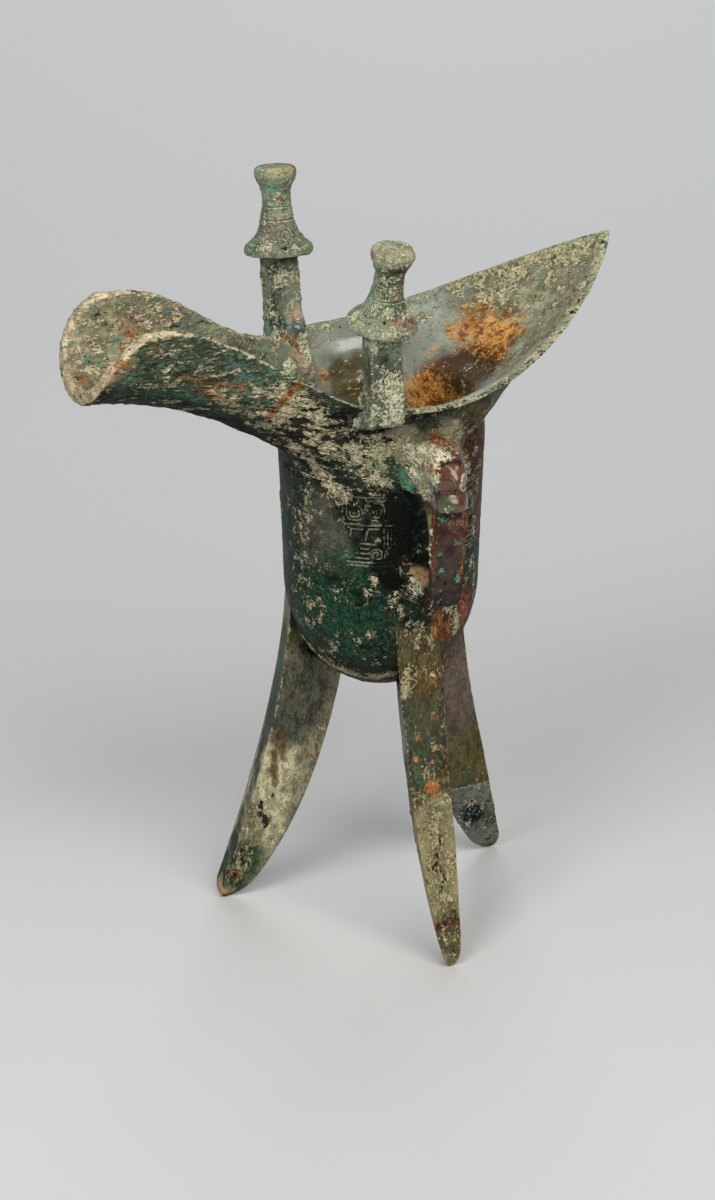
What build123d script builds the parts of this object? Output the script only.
"""A bronze jue on three legs, as separate pieces. Millimetres, +Z up.

The origin is on the cup's axis at the standing plane. The spout points to -X, the tail
to +X and the handle to -Y. "Near" means the handle's side.
"""

import os
from math import cos, pi, radians, sin, sqrt

from build123d import *

os.makedirs("parts", exist_ok=True)

# Cup
CUP_RADIUS = 28.1
CUP_TAPER = 1.5
WALL = 2.6
BOTTOM_HEIGHT = 68.0
BELLY_DEPTH = 32.0
RIM_HEIGHT = 159.9
NECK_DROP = 26.4
REGISTER_HEIGHT = 1.4

# Mouth: rim, spout and tail
MOUTH_FLARE = 9.5
RIM_WALL = 2.4
SPOUT_LENGTH = 60.2
SPOUT_HALF_WIDTH = 19.2
SPOUT_RISE = 24.5
SPOUT_LIP_DEPTH = 22.1
SPOUT_LIP_BACK = 18.5
SPOUT_ROOT_DROP = 21.0
KEEL_WALL = 2.8
TAIL_LENGTH = 39.4
TAIL_RISE = 28.2
TAIL_ROOT_DROP = 9.5
TAIL_TIP_DEPTH = 3.5
TAIL_TIP_WALL = 3.0
SPOUT_SECTOR = 50.0
THROAT_LENGTH = 12.4
SPOUT_RISE_START = 14.0
TAIL_SECTOR = 40.0

# Posts and caps
NEAR_POST_SETBACK = 14.6
FAR_POST_SETBACK = 13.8
POST_WIDTH = 9.2
POST_DEPTH = 5.6
NEAR_POST_HEIGHT = 24.1
FAR_POST_HEIGHT = 22.4
NEAR_POST_SWAY = 1.5
FAR_POST_SWAY = 0.6
PRONG_OUTSIDE = 3.0
PRONG_INSIDE = 5.6
PRONG_DROP = 4.0
PRONG_REACH = 18.0
CAP_LEAN = 9.0
NEAR_CAP_TILT = 4.5
FAR_CAP_TILT = 1.5
CAP_RADIUS = 9.7
CAP_HEIGHT = 24.0
CAP_EDGE = 2.6
CAP_WAIST = 3.9
CAP_WAIST_HEIGHT = 14.4
CAP_DOME = 1.9
CAP_TOP_RADIUS = 5.8
PEG_RADIUS = 2.4
PEG_LENGTH = 9.0

# Handle and mask
HANDLE_RISE = 14.5
HANDLE_HEIGHT = 45.0
HANDLE_WIDTH = 9.0
HANDLE_REACH = 18.0
STRAP_THICKNESS = 5.4
STRAP_TUCK = 3.2
ARM_REACH = 8.1
KNUCKLE_DROP = 16.5
LOWER_ARM = 9.0
UPPER_ARM = 13.5
TENON_SIDE = 5.0
MASK_WIDTH = 9.8
MASK_PROUD = 3.4
MASK_HEIGHT = 15.5
MASK_DEPTH = 5.9
MASK_COVER = 0.8
MASK_LAP = 1.5
HORN_RADIUS = 1.9
HORN_THICKNESS = 0.7
HORN_SPREAD = 2.8
HORN_DROP = 6.2
HORN_PROUD = 1.8
HORN_SLOPE = 19.0

# Legs
LEG_WIDTH = 12.4
LEG_DEPTH = 15.4
LEG_TOE = 4.8
LEG_TOP_DROP = 1.0
LEG_EDGE_RUN = 4.0
FOOT_LENGTH = 6.6
NEAR_FOOT_RADIUS = 45.6
SPOUT_FOOT_RADIUS = 43.7
TAIL_FOOT_RADIUS = 46.5
NEAR_LEG_ANGLE = -90.0
SPOUT_LEG_ANGLE = 153.6
TAIL_LEG_ANGLE = 23.4
TAIL_FOOT_HEIGHT = 24.0
FOOT_TENON_SIDE = 3.0
FOOT_TENON_LENGTH = 6.0

# Shape of the curves: powers and shares, with no unit
TAIL_SWEEP = 1.7
THROAT_TURN = 1.4
TAIL_FULL = 2.1
TAIL_POINT = 0.85
SPOUT_BEND = 1.8
TAIL_STRAIGHT = 0.8
SPOUT_SECTION = (0.5, 1.0, 0.42)
CUP_SECTION = (1.17, 0.48, 0.7)
TAIL_SECTION = (0.42, 0.62, 0.55)
LEG_ROOT_SHARE = 1.2
LEG_SHIN_SHARE = 0.96
LEG_SHIN = 0.6
LEG_POINT = 1.6
LEG_STRAIGHT = 0.73
LEG_SWAY = 0.72
LEG_KICK = 0.38
LEG_EDGE_SWAY = 0.54
LEG_EDGE_KICK = 0.28
LEG_SECTIONS = 10
ROUND = 0.5523

# Clearances
FIT = 0.05
LIP_PASS = 1.0
LEG_PASS = 1.0
LEG_BITE = 0.3
PAST = 6.0

# Heights and lengths that follow from the sizes above
BELLY_HEIGHT = BOTTOM_HEIGHT + BELLY_DEPTH
BELLY_RADIUS = CUP_RADIUS - CUP_TAPER
MOUTH_HALF = CUP_RADIUS + MOUTH_FLARE
SPOUT_END = -(CUP_RADIUS + SPOUT_LENGTH)
SPOUT_PEAK = SPOUT_END + SPOUT_LIP_BACK
TAIL_END = CUP_RADIUS + TAIL_LENGTH
SPOUT_KEEL = RIM_HEIGHT + SPOUT_RISE - SPOUT_LIP_DEPTH
FAR_OUT = 2 * (SPOUT_LENGTH + CUP_RADIUS)
NECK_HEIGHT = RIM_HEIGHT - NECK_DROP
HANDLE_TOP = NECK_HEIGHT + HANDLE_RISE
HANDLE_BASE = HANDLE_TOP - HANDLE_HEIGHT
ON_BASE = (Align.CENTER, Align.CENTER, Align.MIN)


def smooth(t):
    """An S curve from 0 at t = 0 to 1 at t = 1."""
    t = min(max(t, 0.0), 1.0)
    return t * t * (3 - 2 * t)


def rim_height(x):
    """Height of the rim before the spout's lip is rounded off."""
    spout = SPOUT_RISE * smooth((-SPOUT_RISE_START - x) / (-SPOUT_RISE_START - SPOUT_PEAK))
    tail = TAIL_RISE * max(0.0, x / TAIL_END) ** TAIL_SWEEP
    return RIM_HEIGHT + spout + tail


def rim_half_width(x, tip):
    """Half width of the rim: a parallel spout, a round mouth, a pointed tail."""
    throat = -(CUP_RADIUS + THROAT_LENGTH)
    if x < 0:
        turn = sin(pi / 2 * max((x - throat) / -throat, 0.0)) ** THROAT_TURN
        return SPOUT_HALF_WIDTH + (MOUTH_HALF - SPOUT_HALF_WIDTH) * turn
    return MOUTH_HALF * (1 - (x / tip) ** TAIL_FULL) ** TAIL_POINT


def keel_height(x):
    """Height of the underside on the middle plane, a sagging line inside the cup."""
    spout_root = RIM_HEIGHT - SPOUT_ROOT_DROP
    tail_root = RIM_HEIGHT - TAIL_ROOT_DROP
    spout_climb = SPOUT_KEEL - spout_root
    tail_climb = TAIL_RISE + TAIL_ROOT_DROP - TAIL_TIP_DEPTH
    if x < -CUP_RADIUS:
        u = (-x - CUP_RADIUS) / SPOUT_LENGTH
        return SPOUT_KEEL - spout_climb * max(0.0, 1 - u) ** SPOUT_BEND
    if x > CUP_RADIUS:
        u = (x - CUP_RADIUS) / TAIL_LENGTH
        return tail_root + tail_climb * (TAIL_STRAIGHT * u + (1 - TAIL_STRAIGHT) * u * u)
    u = (x / CUP_RADIUS + 1) / 2
    falls = -SPOUT_BEND * spout_climb / SPOUT_LENGTH * 2 * CUP_RADIUS
    rises = TAIL_STRAIGHT * tail_climb / TAIL_LENGTH * 2 * CUP_RADIUS
    across = spout_root + (tail_root - spout_root) * smooth(u)
    return across + falls * u * (1 - u) ** 2 - rises * u * u * (1 - u)


def section(x, tip, side_wall, keel_wall, over):
    """The closed outline of the trough at one station along X."""
    spout = smooth((-x - CUP_RADIUS / 2) / CUP_RADIUS)
    tail = smooth((x - CUP_RADIUS / 2) / CUP_RADIUS)
    cup = 1 - spout - tail
    half = rim_half_width(x, tip) * (1 - side_wall / MOUTH_HALF)
    if x < 0:
        half = rim_half_width(x, tip) - side_wall
    top = rim_height(x)
    keel = keel_height(x) + keel_wall
    low, bulge, bend = (
        spout * a + cup * b + tail * c
        for a, b, c in zip(SPOUT_SECTION, CUP_SECTION, TAIL_SECTION)
    )
    low *= half
    bulge *= half
    bend = keel + bend * (top - keel)
    left = Bezier((x, 0, keel), (x, -low, keel), (x, -bulge, bend), (x, -half, top))
    right = Bezier((x, half, top), (x, bulge, bend), (x, low, keel), (x, 0, keel))
    if over:
        lid = Polyline((x, -half, top), (x, -half, top + over), (x, half, top + over), (x, half, top))
    else:
        lid = Line((x, -half, top), (x, half, top))
    return Wire([*left.edges(), *lid.edges(), *right.edges()])


def trough(start, tip, side_wall, keel_wall, over):
    """A solid through sections from the spout's end to the tail's tip."""
    spout_steps = 6
    cup_steps = 8
    tail_steps = 7
    near_tip = 0.995
    xs = [start + (-CUP_RADIUS - start) * i / spout_steps for i in range(spout_steps)]
    xs += [CUP_RADIUS * (2 * i / cup_steps - 1) for i in range(cup_steps)]
    reach = tip * near_tip - CUP_RADIUS
    xs += [CUP_RADIUS + reach * sin(pi / 2 * i / tail_steps) for i in range(tail_steps + 1)]
    return Solid.make_loft([section(x, tip, side_wall, keel_wall, over) for x in xs])


def sector(first, last):
    """A tall wedge about the cup's axis between two directions in degrees."""
    middle = radians((first + last) / 2)
    a = radians(first)
    b = radians(last)
    points = [(0, 0)]
    points += [(FAR_OUT * cos(a), FAR_OUT * sin(a))]
    points += [(2 * FAR_OUT * cos(middle), 2 * FAR_OUT * sin(middle))]
    points += [(FAR_OUT * cos(b), FAR_OUT * sin(b))]
    return extrude(make_face(Polyline(*points, close=True)), FAR_OUT * 2)


def cup_turned(inset, top):
    """The cup's outline turned about Z, inset from the outside and filled to a height."""
    belly = BELLY_RADIUS - inset
    neck = CUP_RADIUS - inset
    depth = BELLY_DEPTH - inset
    bowl = Bezier(
        (0, BELLY_HEIGHT - depth),
        (ROUND * belly, BELLY_HEIGHT - depth),
        (belly, BELLY_HEIGHT - ROUND * depth),
        (belly, BELLY_HEIGHT),
    )
    sides = Polyline((belly, BELLY_HEIGHT), (neck, RIM_HEIGHT - SPOUT_ROOT_DROP), (neck, top), (0, top))
    axis = Line((0, top), (0, BOTTOM_HEIGHT + inset))
    return revolve(Plane.XZ * make_face(bowl.edges() + sides.edges() + axis.edges()), Axis.Z)


# Cup and mouth: one shell, divided where the mould sections met
outer_trough = trough(SPOUT_END - PAST / 2, TAIL_END, 0.0, 0.0, 0.0)
inner_trough = trough(SPOUT_END - PAST, TAIL_END - TAIL_TIP_WALL, RIM_WALL, KEEL_WALL, PAST)
lip_low = SPOUT_KEEL - LIP_PASS
lip_high = SPOUT_KEEL + SPOUT_LIP_DEPTH + LIP_PASS
lip_arc = EllipticalCenterArc((SPOUT_PEAK, lip_low), SPOUT_LIP_BACK, lip_high - lip_low, start_angle=90)
lip_corner = Polyline(
    (SPOUT_END, lip_low),
    (SPOUT_END - 2 * PAST, lip_low),
    (SPOUT_END - 2 * PAST, lip_high + PAST),
    (SPOUT_PEAK, lip_high + PAST),
    (SPOUT_PEAK, lip_high),
)
lip_face = make_face(lip_arc.edges() + lip_corner.edges())
lip_cutter = extrude(Plane.XZ * lip_face, 2 * MOUTH_HALF, both=True)

cup_outside = cup_turned(0.0, RIM_HEIGHT)
cup_inside = cup_turned(WALL, RIM_HEIGHT + PAST)
vessel_outside = outer_trough + cup_outside
vessel_inside = inner_trough + cup_inside
vessel = vessel_outside - vessel_inside - lip_cutter
below_neck = Pos(0, 0, NECK_HEIGHT - FAR_OUT) * Box(2 * FAR_OUT, 2 * FAR_OUT, 2 * FAR_OUT)


def register(grow):
    """The raised inner half of the cup's top edge, grown by a clearance."""
    ring = Cylinder(CUP_RADIUS - WALL / 2 + grow, REGISTER_HEIGHT + grow, align=ON_BASE)
    return Pos(0, 0, NECK_HEIGHT) * ring


cup = vessel & (below_neck + register(0.0))
mouth = vessel - (below_neck + register(FIT))
spout = mouth & sector(180 - SPOUT_SECTOR, 180 + SPOUT_SECTOR)
tail = mouth & sector(-TAIL_SECTOR, TAIL_SECTOR)
near_mouth_wall = mouth & sector(SPOUT_SECTOR - 180, -TAIL_SECTOR)
far_mouth_wall = mirror(near_mouth_wall, Plane.XZ)

# Bell caps sit over pegs on the posts
skirt = Bezier(
    (CAP_RADIUS - CAP_EDGE / 4, CAP_EDGE),
    (CAP_WAIST + CAP_EDGE, CAP_EDGE + CAP_WAIST),
    (CAP_WAIST, CAP_WAIST_HEIGHT / 2),
    (CAP_WAIST, CAP_WAIST_HEIGHT),
)
crown = Bezier(
    (CAP_WAIST, CAP_WAIST_HEIGHT),
    (CAP_WAIST, CAP_HEIGHT - 3 * CAP_DOME),
    (CAP_TOP_RADIUS, CAP_HEIGHT - 3 * CAP_DOME),
    (CAP_TOP_RADIUS, CAP_HEIGHT - CAP_DOME),
)
cap_top = Bezier((CAP_TOP_RADIUS, CAP_HEIGHT - CAP_DOME), (CAP_TOP_RADIUS, CAP_HEIGHT), (0, CAP_HEIGHT))
cap_base = Polyline(
    (0, CAP_HEIGHT),
    (0, 0),
    (CAP_RADIUS - CAP_EDGE / 4, 0),
    (CAP_RADIUS, CAP_EDGE / 4),
    (CAP_RADIUS, CAP_EDGE * 3 / 4),
    (CAP_RADIUS - CAP_EDGE / 4, CAP_EDGE),
)
cap_face = make_face(skirt.edges() + crown.edges() + cap_top.edges() + cap_base.edges())
peg = Cylinder(PEG_RADIUS, PEG_LENGTH, align=ON_BASE)
socket = Cylinder(PEG_RADIUS + FIT, PEG_LENGTH + FIT, align=ON_BASE)
cap = revolve(Plane.XZ * cap_face, Axis.Z) - socket


def post_and_cap(setback, height, sway, tilt):
    """A post astride the near rim, an outer prong outside and a wedge inside, and its cap."""
    rim = rim_half_width(-setback, TAIL_END)
    sill = rim_height(-setback)
    prong_face = Rectangle(POST_WIDTH, PRONG_OUTSIDE + PRONG_INSIDE)
    prong_middle = -rim - (PRONG_OUTSIDE - PRONG_INSIDE) / 2
    base = Pos(-setback, prong_middle, sill - PRONG_DROP) * prong_face
    top = Plane(
        origin=(-setback - sway, -rim, sill + height),
        z_dir=(0, -sin(radians(CAP_LEAN)), cos(radians(CAP_LEAN))),
        x_dir=(1, 0, 0),
    ).rotated((0, tilt, 0))
    stem = loft([base, top * Rectangle(POST_WIDTH, POST_DEPTH)])
    wedge_base = Pos(-setback, prong_middle, sill - PRONG_REACH) * prong_face
    wedge = extrude(wedge_base, PRONG_REACH + PRONG_DROP) & inner_trough
    return (stem - outer_trough) + wedge + top * peg, top * cap


near_post, near_post_cap = post_and_cap(NEAR_POST_SETBACK, NEAR_POST_HEIGHT, NEAR_POST_SWAY, NEAR_CAP_TILT)
far_pair = post_and_cap(FAR_POST_SETBACK, FAR_POST_HEIGHT, FAR_POST_SWAY, FAR_CAP_TILT)
far_post, far_post_cap = (mirror(piece, Plane.XZ) for piece in far_pair)

# Handle: a strap with two square tenons cast through the cup wall
face_y = -(CUP_RADIUS + HANDLE_REACH)
root_y = -CUP_RADIUS / 2
arm_y = -(CUP_RADIUS + ARM_REACH)
low_y = face_y + STRAP_TUCK
knuckle = HANDLE_TOP - KNUCKLE_DROP
strap_outside = (
    Line((root_y, HANDLE_BASE), (arm_y, HANDLE_BASE)).edges()
    + Bezier(
        (arm_y, HANDLE_BASE),
        (low_y, HANDLE_BASE),
        (low_y, HANDLE_BASE + LOWER_ARM / 2),
        (low_y, HANDLE_BASE + LOWER_ARM),
    ).edges()
    + Bezier(
        (low_y, HANDLE_BASE + LOWER_ARM),
        (low_y, knuckle - KNUCKLE_DROP / 2),
        (face_y, knuckle - KNUCKLE_DROP / 2),
        (face_y, knuckle),
    ).edges()
    + Bezier(
        (face_y, knuckle),
        (face_y, HANDLE_TOP - STRAP_TUCK),
        (face_y + STRAP_TUCK, HANDLE_TOP),
        (arm_y, HANDLE_TOP),
    ).edges()
    + Polyline((arm_y, HANDLE_TOP), (root_y, HANDLE_TOP), (root_y, HANDLE_BASE)).edges()
)
inside_y = face_y + STRAP_THICKNESS
gap_low = HANDLE_BASE + LOWER_ARM
gap_high = HANDLE_TOP - UPPER_ARM
finger_gap = (
    Polyline((root_y, gap_high), (root_y, gap_low), (arm_y, gap_low)).edges()
    + Bezier(
        (arm_y, gap_low),
        (inside_y, gap_low),
        (inside_y, gap_low + STRAP_TUCK),
        (inside_y, gap_low + 2 * STRAP_TUCK),
    ).edges()
    + Bezier(
        (inside_y, gap_low + 2 * STRAP_TUCK),
        (inside_y, gap_high - STRAP_TUCK),
        (arm_y, gap_high),
        (root_y, gap_high),
    ).edges()
)
side_plane = Plane(origin=(0, 0, 0), x_dir=(0, 1, 0), z_dir=(1, 0, 0))
strap_blank = extrude(side_plane * make_face(strap_outside), HANDLE_WIDTH / 2, both=True)
strap_blank -= extrude(side_plane * make_face(finger_gap), HANDLE_WIDTH, both=True)
tenon_heights = (HANDLE_BASE + LOWER_ARM / 2, HANDLE_TOP - UPPER_ARM / 2)


def tenons(side):
    """Two square bars through the cup wall at the handle's roots."""
    bars = [Pos(0, -CUP_RADIUS, z) * Box(side, 2 * (WALL + MOUTH_FLARE), side) for z in tenon_heights]
    return bars[0] + bars[1]


handle_strap = strap_blank - (vessel_outside - tenons(TENON_SIDE)) - vessel_inside
tenon_holes = tenons(TENON_SIDE + 2 * FIT)
cup -= tenon_holes
near_mouth_wall -= tenon_holes

# Mask: a saddle over the strap's upper bend, with a pair of C-shaped horns on its brow
mask_low = HANDLE_TOP - MASK_HEIGHT
mask_high = HANDLE_TOP + MASK_COVER
mask_back = face_y + MASK_DEPTH
nose = mask_low + MASK_HEIGHT / 3
muzzle_y = face_y - MASK_PROUD
mask_middle = ((mask_back + muzzle_y) / 2, (mask_high + mask_low) / 2)


def mask_outline(x, share):
    """The mask's side outline at one place across it, drawn in towards its middle."""

    def at(y, z):
        return (
            x,
            mask_middle[0] + share * (y - mask_middle[0]),
            mask_middle[1] + share * (z - mask_middle[1]),
        )

    brow = Bezier(
        at(mask_back, mask_high),
        at(face_y, mask_high),
        at(face_y - MASK_PROUD / 2, mask_high - MASK_PROUD),
        at(muzzle_y, nose),
    )
    muzzle = Bezier(
        at(muzzle_y, nose),
        at(muzzle_y, mask_low),
        at(face_y, mask_low),
        at(face_y + MASK_LAP, mask_low),
    )
    back = Polyline(
        at(face_y + MASK_LAP, mask_low),
        at(mask_back, nose),
        at(mask_back, mask_high),
    )
    return Wire(brow.edges() + muzzle.edges() + back.edges())


MASK_SHARES = ((-0.5, 0.84), (-0.35, 0.96), (0.0, 1.0), (0.35, 0.96), (0.5, 0.84))
mask_head = Solid.make_loft([mask_outline(part * MASK_WIDTH, share) for part, share in MASK_SHARES])
horn = Rot(0, 0, 45) * Torus(HORN_RADIUS, HORN_THICKNESS, major_angle=270)
horn_spots = [
    Plane(
        origin=(side * HORN_SPREAD, face_y - HORN_PROUD, HANDLE_TOP - HORN_DROP),
        x_dir=(side, 0, 0),
        z_dir=(0, -cos(radians(HORN_SLOPE)), sin(radians(HORN_SLOPE))),
    )
    for side in (-1, 1)
]
handle_mask = mask_head + horn_spots[0] * horn + horn_spots[1] * horn - strap_blank


# Legs: three-sided blades, flat outside, edge inward, curving out to the foot
def cubic(points, t):
    """A point on a cubic Bezier line of (radius, height) points."""
    weights = ((1 - t) ** 3, 3 * t * (1 - t) ** 2, 3 * t * t * (1 - t), t**3)
    return [sum(w * p[i] for w, p in zip(weights, points)) for i in (0, 1)]


def leg(foot_radius, angle):
    """One leg turned to its direction, cut to the cup and flat at the standing plane."""
    top = BELLY_HEIGHT - LEG_TOP_DROP
    toe = foot_radius + FOOT_LENGTH / 2
    heel = foot_radius - FOOT_LENGTH / 2
    root = sqrt(BELLY_RADIUS**2 - (LEG_ROOT_SHARE * LEG_WIDTH / 2) ** 2) - LEG_BITE
    inner = root - LEG_DEPTH
    face_line = (
        (root, top),
        (root + LEG_BITE, LEG_STRAIGHT * top),
        (LEG_SWAY * toe, LEG_KICK * top),
        (toe, -LEG_PASS),
    )
    edge_line = (
        (inner, BOTTOM_HEIGHT + LEG_EDGE_RUN),
        (inner + LEG_EDGE_RUN, LEG_STRAIGHT * BOTTOM_HEIGHT),
        (LEG_EDGE_SWAY * heel, LEG_EDGE_KICK * BOTTOM_HEIGHT),
        (heel, -LEG_PASS),
    )
    outlines = []
    for i in range(LEG_SECTIONS + 1):
        t = i / LEG_SECTIONS
        face = cubic(face_line, t)
        edge = cubic(edge_line, t)
        narrowing = (LEG_ROOT_SHARE - LEG_SHIN_SHARE) * smooth(t / LEG_SHIN)
        width = LEG_WIDTH * (LEG_ROOT_SHARE - narrowing)
        toward_foot = max(0.0, (t - LEG_SHIN) / (1 - LEG_SHIN))
        width -= (LEG_SHIN_SHARE * LEG_WIDTH - LEG_TOE) * toward_foot**LEG_POINT
        corners = (
            (face[0], -width / 2, face[1]),
            (face[0], width / 2, face[1]),
            (edge[0], 0, edge[1]),
        )
        outlines.append(Wire(Polyline(*corners, close=True).edges()))
    blade = Solid.make_loft(outlines)
    ground = Pos(0, 0, -PAST) * Box(FAR_OUT, FAR_OUT, 2 * PAST)
    blade -= ground
    return Rot(0, 0, angle) * blade - cup_outside


near_leg = leg(NEAR_FOOT_RADIUS, NEAR_LEG_ANGLE)
spout_leg = leg(SPOUT_FOOT_RADIUS, SPOUT_LEG_ANGLE)
tail_leg_whole = leg(TAIL_FOOT_RADIUS, TAIL_LEG_ANGLE)

# The tail leg's foot is a separate piece on a short square tenon
below = Pos(0, 0, TAIL_FOOT_HEIGHT - FAR_OUT) * Box(2 * FAR_OUT, 2 * FAR_OUT, 2 * FAR_OUT)
join = (tail_leg_whole & below).faces().sort_by(Axis.Z)[-1].center()
tenon_spot = Pos(join.X, join.Y, TAIL_FOOT_HEIGHT) * Rot(0, 0, TAIL_LEG_ANGLE)


def foot_tenon(grow):
    """The square tenon under the tail leg's join, grown by a clearance."""
    side = FOOT_TENON_SIDE + 2 * grow
    return tenon_spot * Box(side, side, 2 * (FOOT_TENON_LENGTH + grow))


tail_leg = (tail_leg_whole - below) + (foot_tenon(0.0) & below)
tail_foot = (tail_leg_whole & below) - foot_tenon(FIT)

NODES = {
    "cup": cup,
    "spout": spout,
    "tail": tail,
    "near_mouth_wall": near_mouth_wall,
    "far_mouth_wall": far_mouth_wall,
    "near_post": near_post,
    "far_post": far_post,
    "near_post_cap": near_post_cap,
    "far_post_cap": far_post_cap,
    "handle_strap": handle_strap,
    "handle_mask": handle_mask,
    "near_leg": near_leg,
    "spout_leg": spout_leg,
    "tail_leg": tail_leg,
    "tail_foot": tail_foot,
}
for name, shape in NODES.items():
    export_step(shape, f"parts/{name}.step")
